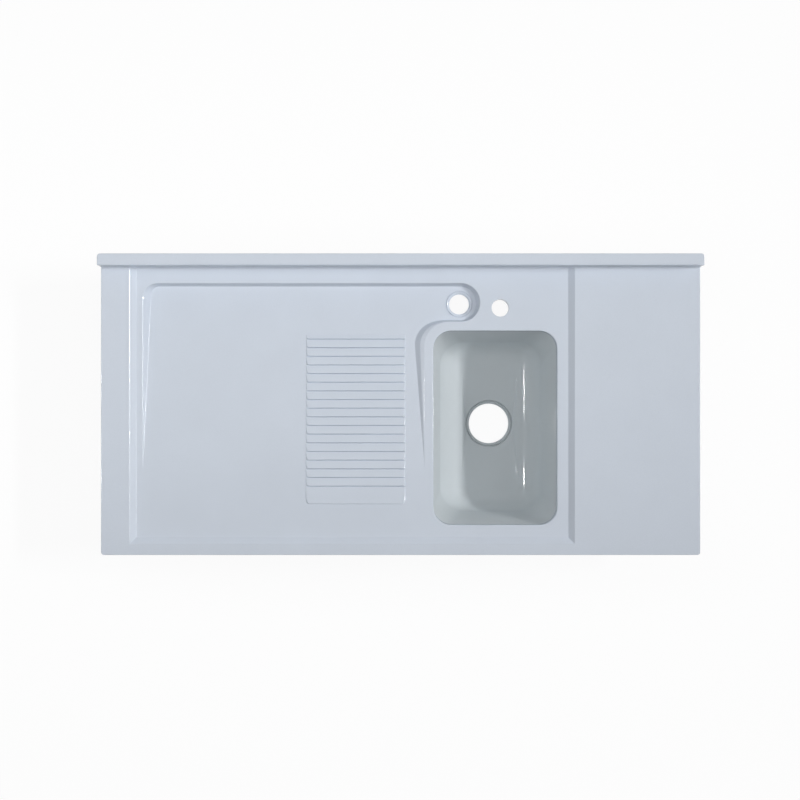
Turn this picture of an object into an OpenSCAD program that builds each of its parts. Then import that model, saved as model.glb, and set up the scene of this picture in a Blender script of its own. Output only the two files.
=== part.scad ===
// Laundry worktop of cast stone, with a back upstand, a sloped drainboard, a washboard and a deep bowl.
// The origin is on the face that rests on the cabinet, in the middle of the plan.
// +X runs to the right, +Y to the wall behind and +Z up. All sizes are in millimetres.

/* [Worktop] */
// Length of the worktop, left to right
top_l = 1200; // [1150:10:1500]
// Depth of the worktop, front to back
top_w = 600; // [590:5:700]
// Height of the visible edge, from the cabinet to the raised rim
edge_h = 50; // [46:1:70]
// Thickness of the cast deck at its raised rim
deck_t = 34; // [33:1:42]
// Plan radius of the outer corners
corner_r = 6; // [3:0.5:12]
// Round along the top outer edges
edge_r = 2.5; // [1:0.5:4]

/* [Back upstand] */
// Height of the upstand above the raised rim
upstand_h = 40; // [25:1:100]
// Thickness of the upstand
upstand_t = 23; // [15:1:30]
// Round along the top edges of the upstand
upstand_r = 3; // [1:0.5:6]
// Radius of the cove at the foot of the upstand
cove_r = 5; // [3:0.5:9]

/* [Tray] */
// Width of the raised rim on the left
rim_left_w = 57; // [40:1:90]
// Width of the raised rim at the front
rim_front_w = 22; // [14:1:30]
// Width of the raised plateau on the right
plateau_w = 251; // [180:1:300]
// Depth of the tray below the rim
tray_depth = 10; // [6:0.5:10.5]
// Width of the tray's bevelled sides, seen from above
bevel_w = 12.5; // [6:0.5:18]

/* [Drainboard] */
// Gap from the foot of the left bevel to the drainboard
drain_left_gap = 12.5; // [6:0.5:40]
// Gap from the upstand to the drainboard
drain_back_gap = 32; // [20:1:36]
// Length of the slope, from the back wall to where it meets the tray
drain_run = 372; // [300:1:420]
// Depth of the drainboard below the tray, at the back wall
drain_depth = 18.5; // [10:0.5:19]
// Plan radius of the drainboard's back left corner
drain_corner_r = 30; // [22:1:60]
// Run of the left wall for each millimetre of depth
left_lean = 0.8; // [0.5:0.01:1.3]
// Run of the back wall for each millimetre of depth
back_lean = 0.31; // [0.1:0.01:0.6]
// Run of the wall beside the bowl for each millimetre of depth, below its shoulder
bowl_side_lean = 0.95; // [0.6:0.01:1.4]
// Run of that wall's shoulder for each millimetre of depth
shoulder_lean = 3.1; // [1.5:0.1:4]
// Share of the local depth that the shoulder takes
shoulder_share = 0.235; // [0.1:0.005:0.35]
// Distance behind the front of the slope at which the shoulder starts
shoulder_start = 5; // [2:1:20]
// Run of the round end's wall for each millimetre of depth
lobe_lean = 0.45; // [0.2:0.01:0.7]

/* [Bowl] */
// Length of the bowl's opening along the worktop
bowl_l = 248.5; // [220:0.5:320]
// Gap from the worktop's front edge to the bowl's opening
bowl_front_gap = 59.5; // [57:0.5:90]
// Plan radius of the opening's corners
bowl_r = 36; // [24:1:48]
// Depth of the bowl below the raised rim, at its waste
bowl_depth = 208; // [170:1:260]
// Gap from the plateau's edge to the bowl's opening
bowl_right_gap = 34.5; // [24:0.5:60]
// Width of the tap ledge, from the upstand to the bowl's opening
ledge_w = 127.5; // [120:0.5:140]
// Width of the level land that frames the bowl on its left and at its back
land_w = 18; // [12:1:24]
// Plan radius of the land's corner
land_r = 48; // [30:1:56]
// Wall thickness of the bowl
bowl_wall = 10; // [7:0.5:12]
// Inward draft of the bowl's sides over their height
bowl_draft = 16; // [8:1:24]
// Fillet between the bowl's sides and its floor
bowl_fillet = 50; // [30:1:56]
// Fall of the bowl's floor towards the waste
floor_fall = 8; // [4:0.5:14]
// Bevel round the top edge of the opening
mouth_bevel = 2; // [1:0.5:4]
// Width of the flange that is bonded under the deck
flange_w = 20; // [19:0.5:26]
// Thickness of the flange
flange_t = 10; // [7:0.5:14]
// Thickness of the adhesive between the flange and the deck
glue_t = 1; // [0.5:0.1:2]
// Distance of the adhesive from both edges of the flange
glue_inset = 3; // [1:0.5:5]

/* [Holes] */
// Radius of the waste hole
waste_r = 42.5; // [40:0.5:48]
// Radius of the recess that seats the waste's flange
waste_seat_r = 50; // [48:0.5:62]
// Depth of that recess
waste_seat_d = 3; // [1:0.5:5]
// Thickness of the floor at the waste hole
waste_wall = 9; // [6:0.5:14]
// Distance of the waste hole to the left of the bowl's middle
waste_left = 1; // [0:0.5:6]
// Distance of the waste hole behind the bowl's middle
waste_behind = 5.5; // [0:0.5:12]
// Radius of the tap hole
tap_r = 17.5; // [14:0.5:19]
// Distance of the tap hole to the right of the bowl's middle
tap_dx = 10; // [0:1:80]
// Distance of the tap hole behind the bowl's opening
tap_dy = 46; // [35:1:60]
// Radius of the deck outlet
outlet_r = 20; // [15:0.5:22]
// Radius of the level ring round the deck outlet
outlet_ring_r = 27; // [25:0.5:29]
// Width of that ring, down to which the outlet's conical lip reaches
outlet_ring_w = 1; // [0.5:0.5:4.5]
// Depth of that lip
outlet_lip_d = 2.5; // [0.5:0.1:3]
// Distance of the drainboard's round end to the right of the bowl's left edge, up to its middle
lobe_dx = 55; // [50:1:70]
// Distance of the outlet to the left of the round end's middle
outlet_left = 3; // [0:0.5:4]
// Distance of the outlet in front of the round end's middle
outlet_front = 2.5; // [0:0.5:3]

/* [Washboard] */
// Length of the ribs
rib_l = 200; // [120:1:260]
// Distance from one rib to the next
rib_pitch = 17.4; // [12:0.2:20]
// Number of ribs before the plain front bay
ribs = 18; // [8:1:18]
// Height of a rib's steep face
rib_h = 2.6; // [1.5:0.1:4]
// Run of a rib's steep face
rib_lean = 0.9; // [0.4:0.1:2]
// Height of the valleys between the ribs
rib_valley = 0.7; // [0.2:0.1:1.2]
// Run of the ribs' ends for each millimetre of height
rib_end_lean = 2.2; // [0.3:0.1:3]
// Length of the plain front bay
front_bay = 36; // [24:1:44]
// Distance from the level land to the washboard
rib_gap = 38.5; // [30:0.5:80]
// Distance of the first rib in front of the bowl's back edge
rib_start = 15.5; // [10:0.5:60]
// Length of the short first bay
first_bay = 9; // [5:0.5:14]

/* [Frame under the deck] */
// Width of the aprons, seen from below
apron_w = 20; // [15:1:30]
// Width of the rail along the back
rail_w = 55; // [40:1:60]
// Width of the battens
batten_w = 36; // [24:1:44]
// Distance from the worktop's left end to the middle of the left batten
left_batten_dx = 205; // [60:5:280]
// Gap between the bowl clips and the battens beside them
batten_gap = 7; // [3:0.5:20]

/* [Bowl clips] */
// Number of clips on each long side of the bowl
clips_per_side = 3; // [2:1:4]
// Distance from the first to the last clip
clip_span = 220; // [150:1:300]
// Width of a clip
clip_w = 20; // [14:1:30]
// Thickness of a clip
clip_t = 2; // [1.5:0.1:3]
// Overlap of a clip on the flange
clip_lap = 8; // [5:1:9]
// Distance from the flange's edge to the stud
stud_dx = 10; // [9:0.5:11]
// Distance from the flange's edge to the outside of the clip's foot
clip_reach = 21; // [20:0.5:24]
// Radius of the stud
stud_r = 3; // [2.5:0.1:3.5]
// Clearance between round parts that pass through one another
fit_gap = 0.3; // [0.2:0.05:0.5]
// Radius of the threaded insert in the deck
insert_r = 5; // [4.5:0.1:6]
// Length of the threaded insert
insert_l = 9; // [6:0.5:10]
// Radius of the washer
washer_r = 7; // [6.5:0.1:8]
// Thickness of the washer
washer_t = 1.5; // [1:0.1:2]
// Radius of the nut over its corners
nut_r = 5.8; // [5.5:0.1:6.5]
// Height of the nut
nut_h = 5; // [4:0.1:7]
// Length of the stud that stands out of the nut
stud_tip = 3; // [1:0.5:8]

/* [Hidden] */

$fn = 96;
// How far a cutter runs past the face that it opens
over = 1;
// How far a raised or sunk form runs into the face that it starts from
bite = 0.1;
// Facets of a rounded corner inside a hull
soft_fn = 32;
// Thickness of the flat outline that ends a hull
skin = 0.01;

stone = [0.81, 0.84, 0.88];
bowl_stone = [0.73, 0.76, 0.77];
plywood = [0.74, 0.58, 0.38];
glue = [0.90, 0.89, 0.84];
steel = [0.75, 0.76, 0.78];
brass = [0.78, 0.62, 0.30];

// Levels
rim_z = edge_h;
under_z = edge_h - deck_t;
tray_z = rim_z - tray_depth;
flange_z = under_z - glue_t - flange_t;
seat_z = rim_z - bowl_depth;
floor_z = seat_z + floor_fall;
waste_z = seat_z - waste_seat_d - waste_wall;
clip_z = flange_z - clip_t;
washer_z = clip_z - washer_t;
nut_z = washer_z - nut_h;

// Places in plan
left_x = -top_l / 2;
right_x = top_l / 2;
front_y = -top_w / 2;
back_y = top_w / 2;
upstand_y = back_y - upstand_t;
tray_x0 = left_x + rim_left_w;
tray_x1 = right_x - plateau_w;
tray_y0 = front_y + rim_front_w;
bowl_w = top_w - upstand_t - ledge_w - bowl_front_gap;
bowl_x = tray_x1 - bowl_right_gap - bowl_l / 2;
bowl_y = front_y + bowl_front_gap + bowl_w / 2;
bowl_x0 = bowl_x - bowl_l / 2;
bowl_y1 = bowl_y + bowl_w / 2;
land_x = bowl_x0 - land_w;
land_y = bowl_y1 + land_w;
drain_x0 = tray_x0 + bevel_w + drain_left_gap;
drain_y1 = upstand_y - drain_back_gap;
drain_y0 = drain_y1 - drain_run;
fall = drain_depth / drain_run;
lobe_r = (drain_y1 - land_y) / 2;
lobe_x = bowl_x0 + lobe_dx;
lobe_y = land_y + lobe_r;
outlet_x = lobe_x - outlet_left;
outlet_y = lobe_y - outlet_front;
waste_x = bowl_x - waste_left;
waste_y = bowl_y + waste_behind;
tap_x = bowl_x + tap_dx;
tap_y = bowl_y1 + tap_dy;
board_x1 = land_x - rib_gap;
board_x0 = board_x1 - rib_l;
board_y1 = bowl_y1 - rib_start;

// Level of the drainboard at a place, before it meets the tray
function slope_z(y) = tray_z - fall * (y - drain_y0);

// Level that a rib stands on
function bed_z(y) = min(tray_z, slope_z(y));

// Ease from 0 to 1 with level ends
function ease(t) = t * t * (3 - 2 * t);

// One point of the drainboard's edge: its place, its outward direction, the leans of its wall and shoulder
function edge_point(x, y, nx, ny, leans) = [x, y, nx, ny, leans[0], leans[1]];

// Points of an arc of the edge, with leans that ease from one pair to the other
// The turn is 1 where the drainboard is inside the arc, and -1 where it is outside
function edge_arc(cx, cy, r, a0, a1, leans0, leans1, turn, steps) = [
    for (i = [0 : steps])
        let (t = i / steps, a = a0 + (a1 - a0) * t)
            edge_point(cx + r * cos(a), cy + r * sin(a), turn * cos(a), turn * sin(a),
                leans0 + (leans1 - leans0) * ease(t))
];

// The slope is carried a little past the line where it meets the tray
end_y = drain_y0 - 0.5 * over / fall;

// Leans of the wall and of its shoulder; a plain wall has no shoulder, and both are the same
left_leans = [left_lean, left_lean];
back_leans = [back_lean, back_lean];
lobe_leans = [lobe_lean, lobe_lean];
bowl_side_leans = [bowl_side_lean, shoulder_lean];

// The edge of the drainboard on the tray, clockwise from its front left end
drain_edge = concat(
    [edge_point(drain_x0, end_y, -1, 0, left_leans)],
    edge_arc(drain_x0 + drain_corner_r, drain_y1 - drain_corner_r, drain_corner_r, 180, 90,
        left_leans, back_leans, 1, 10),
    edge_arc(lobe_x, lobe_y, lobe_r, 90, 0, back_leans, lobe_leans, 1, 12),
    edge_arc(lobe_x, lobe_y, lobe_r, -7.5, -90, lobe_leans, back_leans, 1, 11),
    edge_arc(land_x + land_r, land_y - land_r, land_r, 90, 180, back_leans, bowl_side_leans, -1, 14),
    [edge_point(land_x, end_y, 1, 0, bowl_side_leans)]
);

// Depth to which the wall is carried, past the deepest place of the slope
wall_depth = drain_depth + over;

// Depth of the shoulder under an edge point
function shoulder_d(p) = shoulder_share * fall * (p[1] - drain_y0 - shoulder_start);

// A point of the wall at a height above the tray and at a run inwards from the edge point over it
function wall_point(p, run, z) = [p[0] - p[2] * run, p[1] - p[3] * run, tray_z + z];

// Three rings of the wall: over the tray, at the shoulder, and past the depth of the slope
function brow_point(p) = wall_point(p, -p[5] * over, over);
function shoulder_point(p) = wall_point(p, p[5] * shoulder_d(p), -shoulder_d(p));
function foot_run(p) = p[5] * shoulder_d(p) + p[4] * (wall_depth - shoulder_d(p));
function foot_point(p) = wall_point(p, foot_run(p), -wall_depth);

// Faces of a form carried through stations of m points each, which run anticlockwise as one looks along it
function swept_faces(stations, m) = concat(
    [[for (i = [m - 1 : -1 : 0]) i]],
    [[for (i = [0 : m - 1]) (stations - 1) * m + i]],
    [for (k = [0 : stations - 2], i = [0 : m - 1]) let (j = (i + 1) % m, a = k * m, b = a + m)
        each [[a + i, a + j, b + j], [a + i, b + j, b + i]]]
);

// Rounded rectangle about the origin
module round_rect(l, w, r) {
    square([l - 2 * r, w], center = true);
    square([l, w - 2 * r], center = true);
    for (sx = [-1, 1], sy = [-1, 1])
        translate([sx * (l / 2 - r), sy * (w / 2 - r)])
            circle(r);
}

// Outline of the bowl's opening, grown on every side
module bowl_outline(grow) {
    round_rect(bowl_l + 2 * grow, bowl_w + 2 * grow, bowl_r + grow);
}

// Upright plate with its two top edges rounded, drawn in the plane of its thickness and height
module round_top(t, h, r) {
    square([t, h - r]);
    translate([r, 0])
        square([t - 2 * r, h]);
    for (x = [r, t - r])
        translate([x, h - r])
            circle(r, $fn = 48);
}

// Stands a drawing of depth and height up along X
module along_x(length) {
    rotate([90, 0, 90])
        linear_extrude(length)
            children();
}

// Stands a drawing of length and height up along Y
module along_y(length) {
    rotate([90, 0, 0])
        linear_extrude(length)
            children();
}

// Everything inside the worktop's plan
module plan_prism(z0, z1) {
    translate([0, 0, z0])
        linear_extrude(z1 - z0)
            round_rect(top_l, top_w, corner_r);
}

// The deck before it is hollowed: its top edges are rounded, but left square under the upstand
module deck_blank() {
    intersection() {
        translate([left_x, front_y, under_z])
            along_x(top_l)
                round_top(top_w, deck_t, edge_r);
        translate([left_x, back_y, under_z])
            along_y(top_w)
                round_top(top_l, deck_t, edge_r);
        plan_prism(under_z, rim_z);
    }
    intersection() {
        translate([left_x, upstand_y, under_z])
            cube([top_l, upstand_t, deck_t]);
        plan_prism(under_z, rim_z);
    }
}

// The shallow tray, bevelled on the left, at the front and on the right, and open to the upstand
module tray_space() {
    slope = bevel_w / tray_depth * over;
    intersection() {
        translate([0, upstand_y, 0])
            along_y(upstand_y - tray_y0 + 2 * over)
                polygon([[tray_x0 + bevel_w, tray_z], [tray_x1 - bevel_w, tray_z],
                    [tray_x1 + slope, rim_z + over], [tray_x0 - slope, rim_z + over]]);
        translate([tray_x0 - 2 * slope, 0, 0])
            along_x(tray_x1 - tray_x0 + 4 * slope)
                polygon([[tray_y0 + bevel_w, tray_z], [upstand_y, tray_z],
                    [upstand_y, rim_z + over], [tray_y0 - slope, rim_z + over]]);
    }
}

// The drainboard's hollow: a pocket with leaning walls, cut off by the plane of the slope
module drain_space() {
    rings = concat([for (p = drain_edge) foot_point(p)], [for (p = drain_edge) shoulder_point(p)],
        [for (p = drain_edge) brow_point(p)]);
    intersection() {
        polyhedron(rings, swept_faces(3, len(drain_edge)), convexity = 6);
        translate([left_x, drain_y0, tray_z])
            rotate([-atan(fall), 0, 0])
                translate([0, -drain_run, 0])
                    cube([top_l, 3 * drain_run, drain_run]);
    }
}

// The space that the washboard keeps to: its ends lean in as they rise from the bed
module board_space(sink) {
    rise = 2 * rib_h;
    section = [[board_x0 - rib_end_lean * sink, -sink], [board_x1 + rib_end_lean * sink, -sink],
        [board_x1 - rib_end_lean * rise, rise], [board_x0 + rib_end_lean * rise, rise]];
    places = [drain_y0 - drain_run, drain_y0, drain_y0 + drain_run];
    points = [for (y = places) each [for (s = section) [s[0], y, bed_z(y) + s[1]]]];
    polyhedron(points, swept_faces(len(places), len(section)), convexity = 4);
}

// The washboard: every bay climbs towards the front and ends in a steep face
module washboard() {
    sink = 1.5;
    start_y = board_y1 + first_bay;
    last_y = board_y1 - (ribs - 1) * rib_pitch;
    foot_y = last_y - front_bay;
    teeth = [for (i = [0 : ribs - 1]) let (y = board_y1 - i * rib_pitch)
        each [[y, bed_z(y) + rib_h], [y - rib_lean, bed_z(y - rib_lean) + rib_valley]]];
    intersection() {
        translate([board_x0 - rib_l, 0, 0])
            along_x(3 * rib_l)
                polygon(concat(
                    [[start_y, bed_z(start_y) - sink], [start_y, bed_z(start_y) - bite]],
                    teeth,
                    [[foot_y, tray_z + rib_h], [foot_y - rib_lean, tray_z - bite],
                        [foot_y - rib_lean, tray_z - sink], [drain_y0, tray_z - sink]]
                ));
        board_space(2 * sink);
    }
}

// The opening over the bowl, with its top edge bevelled
module bowl_mouth() {
    translate([bowl_x, bowl_y, under_z - over])
        linear_extrude(deck_t)
            bowl_outline(0);
    hull()
        for (grow = [-over, mouth_bevel + over])
            translate([bowl_x, bowl_y, tray_z - mouth_bevel + grow])
                linear_extrude(skin)
                    bowl_outline(grow, $fn = 64);
}

// The outlet of the drainboard: a level ring, sunk below the lowest place of the slope round it, then a lip
// and a straight hole
module deck_outlet() {
    ring_z = slope_z(outlet_y + outlet_ring_r) - bite;
    translate([outlet_x, outlet_y, under_z - over])
        cylinder(r = outlet_r, h = deck_t);
    translate([outlet_x, outlet_y, ring_z - outlet_lip_d])
        cylinder(r1 = outlet_r, r2 = outlet_ring_r - outlet_ring_w, h = outlet_lip_d);
    translate([outlet_x, outlet_y, ring_z])
        cylinder(r = outlet_ring_r, h = 2 * outlet_ring_r * fall + over);
}

module tap_hole() {
    translate([tap_x, tap_y, under_z - over])
        cylinder(r = tap_r, h = deck_t);
}

// Runs its children once for every clip, at the flange's edge and turned away from the bowl
module at_clips() {
    step = clip_span / (clips_per_side - 1);
    for (side = [0, 1], i = [0 : clips_per_side - 1])
        translate([bowl_x + (2 * side - 1) * (bowl_l / 2 + flange_w), bowl_y - clip_span / 2 + i * step, 0])
            mirror([1 - side, 0, 0])
                children();
}

module deck() {
    color(stone)
        difference() {
            union() {
                difference() {
                    deck_blank();
                    tray_space();
                    drain_space();
                }
                washboard();
            }
            bowl_mouth();
            deck_outlet();
            tap_hole();
            at_clips()
                translate([stud_dx, 0, under_z - over])
                    cylinder(r = insert_r + fit_gap, h = insert_l + over + fit_gap);
        }
}

module back_upstand() {
    color(stone)
        intersection() {
            translate([left_x, upstand_y, rim_z])
                along_x(top_l)
                    round_top(upstand_t, upstand_h, upstand_r);
            translate([left_x, back_y, rim_z])
                along_y(upstand_t)
                    round_top(top_l, upstand_h, upstand_r);
            plan_prism(rim_z, rim_z + upstand_h);
        }
}

// The coved fillet in the angle between the worktop and the upstand, stepping down into the tray
module cove_strip() {
    path = [[left_x + edge_r, rim_z], [tray_x0, rim_z], [tray_x0 + bevel_w, tray_z],
        [tray_x1 - bevel_w, tray_z], [tray_x1, rim_z], [right_x - edge_r, rim_z]];
    // The lips are cut off at this angle, where they still have a thickness
    lip = 10;
    steps = 6;
    arc = [for (i = [0 : steps]) let (a = lip + (90 - 2 * lip) * i / steps)
        [cove_r * (1 - cos(a)), cove_r * (1 - sin(a))]];
    section = concat([[0, 0], [arc[steps][0], 0]], [for (i = [steps : -1 : 0]) arc[i]], [[0, arc[0][1]]]);
    points = [for (p = path) each [for (s = section) [p[0], upstand_y - s[0], p[1] + s[1]]]];
    color(stone)
        polyhedron(points, swept_faces(len(path), len(section)), convexity = 4);
}

// The bowl's hollow, or its outside when grown by the wall: drafted sides and a fillet all round the floor
module bowl_form(grow, top_z) {
    corner = bowl_fillet + grow;
    hull() {
        translate([bowl_x, bowl_y, top_z - skin])
            linear_extrude(skin)
                bowl_outline(grow, $fn = 64);
        for (sx = [-1, 1], sy = [-1, 1])
            translate([bowl_x + sx * (bowl_l / 2 - bowl_draft - bowl_fillet),
                bowl_y + sy * (bowl_w / 2 - bowl_draft - bowl_fillet), floor_z + bowl_fillet])
                sphere(corner, $fn = soft_fn);
    }
}

// The floor's fall from the fillet to the waste
module floor_dish() {
    hull() {
        translate([bowl_x, bowl_y, floor_z])
            linear_extrude(over)
                round_rect(bowl_l - 2 * (bowl_draft + bowl_fillet), bowl_w - 2 * (bowl_draft + bowl_fillet),
                    bowl_fillet / 2, $fn = soft_fn);
        translate([waste_x, waste_y, seat_z])
            cylinder(r = waste_seat_r, h = over, $fn = 64);
    }
}

module bowl() {
    top_z = under_z - glue_t;
    color(bowl_stone)
        difference() {
            union() {
                bowl_form(bowl_wall, top_z);
                translate([bowl_x, bowl_y, flange_z])
                    linear_extrude(flange_t)
                        bowl_outline(flange_w);
                translate([waste_x, waste_y, waste_z])
                    cylinder(r = waste_seat_r + bowl_wall, h = floor_z - waste_z);
            }
            bowl_form(0, top_z + over);
            floor_dish();
            translate([waste_x, waste_y, seat_z - waste_seat_d])
                cylinder(r = waste_seat_r, h = waste_seat_d + floor_fall);
            translate([waste_x, waste_y, waste_z - over])
                cylinder(r = waste_r, h = waste_wall + 2 * over);
        }
}

module bowl_adhesive() {
    color(glue)
        translate([bowl_x, bowl_y, under_z - glue_t])
            linear_extrude(glue_t)
                difference() {
                    bowl_outline(flange_w - glue_inset);
                    bowl_outline(glue_inset);
                }
}

module front_apron() {
    color(stone)
        intersection() {
            plan_prism(0, under_z);
            translate([left_x, front_y, 0])
                cube([top_l, apron_w, under_z]);
        }
}

// Side apron from the front apron to the back; side is -1 on the left and 1 on the right
module side_apron(side) {
    x = side < 0 ? left_x : right_x - apron_w;
    color(stone)
        intersection() {
            plan_prism(0, under_z);
            translate([x, front_y + apron_w, 0])
                cube([apron_w, top_w - apron_w, under_z]);
        }
}

module left_apron() {
    side_apron(-1);
}

module right_apron() {
    side_apron(1);
}

module rear_rail() {
    color(plywood)
        translate([left_x + apron_w, back_y - rail_w, 0])
            cube([top_l - 2 * apron_w, rail_w, under_z]);
}

// Batten from the front apron to the rear rail
module batten(x) {
    color(plywood)
        translate([x - batten_w / 2, front_y + apron_w, 0])
            cube([batten_w, top_w - apron_w - rail_w, under_z]);
}

module left_batten() {
    batten(left_x + left_batten_dx);
}

module washboard_batten() {
    batten(board_x0);
}

module middle_batten() {
    batten(bowl_x0 - flange_w - clip_reach - batten_gap - batten_w / 2);
}

module bowl_batten() {
    batten(bowl_x + bowl_l / 2 + flange_w + clip_reach + batten_gap + batten_w / 2);
}

module clip_inserts() {
    color(brass)
        at_clips()
            translate([stud_dx, 0, under_z])
                difference() {
                    cylinder(r = insert_r, h = insert_l);
                    translate([0, 0, -over])
                        cylinder(r = stud_r + fit_gap, h = insert_l + 2 * over);
                }
}

module clip_studs() {
    color(steel)
        at_clips()
            translate([stud_dx, 0, nut_z - stud_tip])
                cylinder(r = stud_r, h = under_z + insert_l - nut_z + stud_tip);
}

// A bridge of bent strip: its toe lies under the flange and its foot stands against the deck
module bowl_clips() {
    color(steel)
        at_clips()
            difference() {
                union() {
                    translate([-clip_lap, -clip_w / 2, clip_z])
                        cube([clip_lap + clip_reach, clip_w, clip_t]);
                    translate([clip_reach - clip_t, -clip_w / 2, clip_z])
                        cube([clip_t, clip_w, under_z - clip_z]);
                }
                translate([stud_dx, 0, clip_z - over])
                    cylinder(r = stud_r + fit_gap, h = clip_t + 2 * over);
            }
}

module clip_washers() {
    color(steel)
        at_clips()
            translate([stud_dx, 0, washer_z])
                difference() {
                    cylinder(r = washer_r, h = washer_t);
                    translate([0, 0, -over])
                        cylinder(r = stud_r + fit_gap, h = washer_t + 2 * over);
                }
}

module clip_nuts() {
    color(steel)
        at_clips()
            translate([stud_dx, 0, nut_z])
                difference() {
                    cylinder(r = nut_r, h = nut_h, $fn = 6);
                    translate([0, 0, -over])
                        cylinder(r = stud_r + fit_gap, h = nut_h + 2 * over);
                }
}

deck();
back_upstand();
cove_strip();
bowl();
bowl_adhesive();
front_apron();
left_apron();
right_apron();
rear_rail();
left_batten();
washboard_batten();
middle_batten();
bowl_batten();
clip_inserts();
clip_studs();
bowl_clips();
clip_washers();
clip_nuts();
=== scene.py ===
"""Laundry worktop of cast stone with a drainboard and a deep bowl: its surfaces, finishes and stage."""

import math

import bmesh
import bpy
import numpy as np
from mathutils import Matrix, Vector
from mathutils.geometry import delaunay_2d_cdt


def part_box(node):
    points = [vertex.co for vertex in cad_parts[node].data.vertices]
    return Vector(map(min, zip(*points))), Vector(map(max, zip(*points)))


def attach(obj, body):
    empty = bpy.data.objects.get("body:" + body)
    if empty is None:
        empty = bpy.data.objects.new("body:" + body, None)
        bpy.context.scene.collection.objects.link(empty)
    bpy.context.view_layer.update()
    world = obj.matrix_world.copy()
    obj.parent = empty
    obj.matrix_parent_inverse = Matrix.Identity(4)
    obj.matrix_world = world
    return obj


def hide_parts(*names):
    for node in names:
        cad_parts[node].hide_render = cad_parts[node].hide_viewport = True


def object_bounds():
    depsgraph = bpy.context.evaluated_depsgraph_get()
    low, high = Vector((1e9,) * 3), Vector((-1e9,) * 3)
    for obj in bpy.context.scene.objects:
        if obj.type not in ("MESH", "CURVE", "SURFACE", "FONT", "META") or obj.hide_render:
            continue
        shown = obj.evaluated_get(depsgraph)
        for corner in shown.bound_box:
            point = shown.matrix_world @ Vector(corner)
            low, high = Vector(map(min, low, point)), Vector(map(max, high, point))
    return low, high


bl_info = {
    "name": "Laundry Worktop",
    "version": (1, 0, 0),
    "blender": (4, 5, 0),
    "location": "3D View > Sidebar > Worktop",
    "description": "Dresses a cast-stone laundry worktop with a drainboard, a washboard and a deep bowl",
    "category": "Add Mesh",
}

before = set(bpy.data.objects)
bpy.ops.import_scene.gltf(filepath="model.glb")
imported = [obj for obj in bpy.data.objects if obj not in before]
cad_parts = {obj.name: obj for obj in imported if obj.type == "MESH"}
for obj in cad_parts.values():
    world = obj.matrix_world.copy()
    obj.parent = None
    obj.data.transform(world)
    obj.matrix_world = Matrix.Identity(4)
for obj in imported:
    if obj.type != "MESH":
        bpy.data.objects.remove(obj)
CAD_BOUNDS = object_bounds()

MM = 0.001


def node_box(name):
    """Lowest and highest corner of a CAD node, in millimetres."""
    low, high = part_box(name)
    return np.array(low) / MM, np.array(high) / MM


# Levels and edges read from the frame; all sizes here are in millimetres
DECK_LO, DECK_HI = node_box("deck")
UPSTAND_LO, UPSTAND_HI = node_box("back_upstand")
BOWL_LO, BOWL_HI = node_box("bowl")
COVE_LO, COVE_HI = node_box("cove_strip")
STUD_LO, STUD_HI = node_box("clip_studs")
NUT_LO, NUT_HI = node_box("clip_nuts")
LEFT_X, FRONT_Y, UNDER_Z = DECK_LO
RIGHT_X, _, RIM_Z = DECK_HI
UPSTAND_Y = UPSTAND_LO[1]

# Tray: a bevelled recess that runs back to the upstand
TRAY_Z = RIM_Z - 10
TRAY_X0 = LEFT_X + 57
TRAY_X1 = RIGHT_X - 251
TRAY_Y0 = FRONT_Y + 22
BEVEL_W = 12.5
OUTER_CORNER_R = 6
COVE_R = 5

# Opening over the bowl, and the level land that frames it
FLANGE_W = 20
FLANGE_T = 10
BOWL_X0 = BOWL_LO[0] + FLANGE_W
BOWL_X1 = BOWL_HI[0] - FLANGE_W
BOWL_Y0 = BOWL_LO[1] + FLANGE_W
BOWL_Y1 = BOWL_HI[1] - FLANGE_W
BOWL_X = (BOWL_X0 + BOWL_X1) / 2
BOWL_Y = (BOWL_Y0 + BOWL_Y1) / 2
BOWL_R = 36
LAND_X = BOWL_X0 - 18
LAND_Y = BOWL_Y1 + 18
LAND_R = 48

# Drainboard: a plane that falls to the back inside its wall, with a round end past the outlet
DRAIN_X0 = TRAY_X0 + BEVEL_W + 12.5
DRAIN_Y1 = UPSTAND_Y - 32
DRAIN_RUN = 372
DRAIN_Y0 = DRAIN_Y1 - DRAIN_RUN
DRAIN_CORNER_R = 30
FALL = 18.5 / DRAIN_RUN
LOBE_R = (DRAIN_Y1 - LAND_Y) / 2
LOBE_X = BOWL_X0 + 55
LOBE_Y = LAND_Y + LOBE_R

# Leans of its wall below and above the shoulder, each a run over a depth
LEFT_LEANS = (0.8, 0.8)
BACK_LEANS = (0.27, 0.27)
LOBE_LEANS = (0.45, 0.45)
BOWL_SIDE_LEANS = (1.1, 3.1)
# Share of the local depth that lies above the shoulder, and how far back from the front it starts
SHOULDER_SHARE = 0.235
SHOULDER_START = 5

# Outlet, set level: from the slope inwards a groove, a lip whose top leans in, a ledge and the hole
OUTLET_X = LOBE_X - 3
OUTLET_Y = LOBE_Y - 2.5
OUTLET_RING_R = 27
OUTLET_RING_SINK = 0.5
OUTLET_GROOVE_D = 2.2
OUTLET_LIP_R = 25.2
OUTLET_LIP_D = 1.2
OUTLET_LEDGE_R = 22
OUTLET_LEDGE_D = 3.5
OUTLET_R = 20

# Tap hole
TAP_R = 17.5
TAP_X = BOWL_X + 10
TAP_Y = BOWL_Y1 + 46

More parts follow.
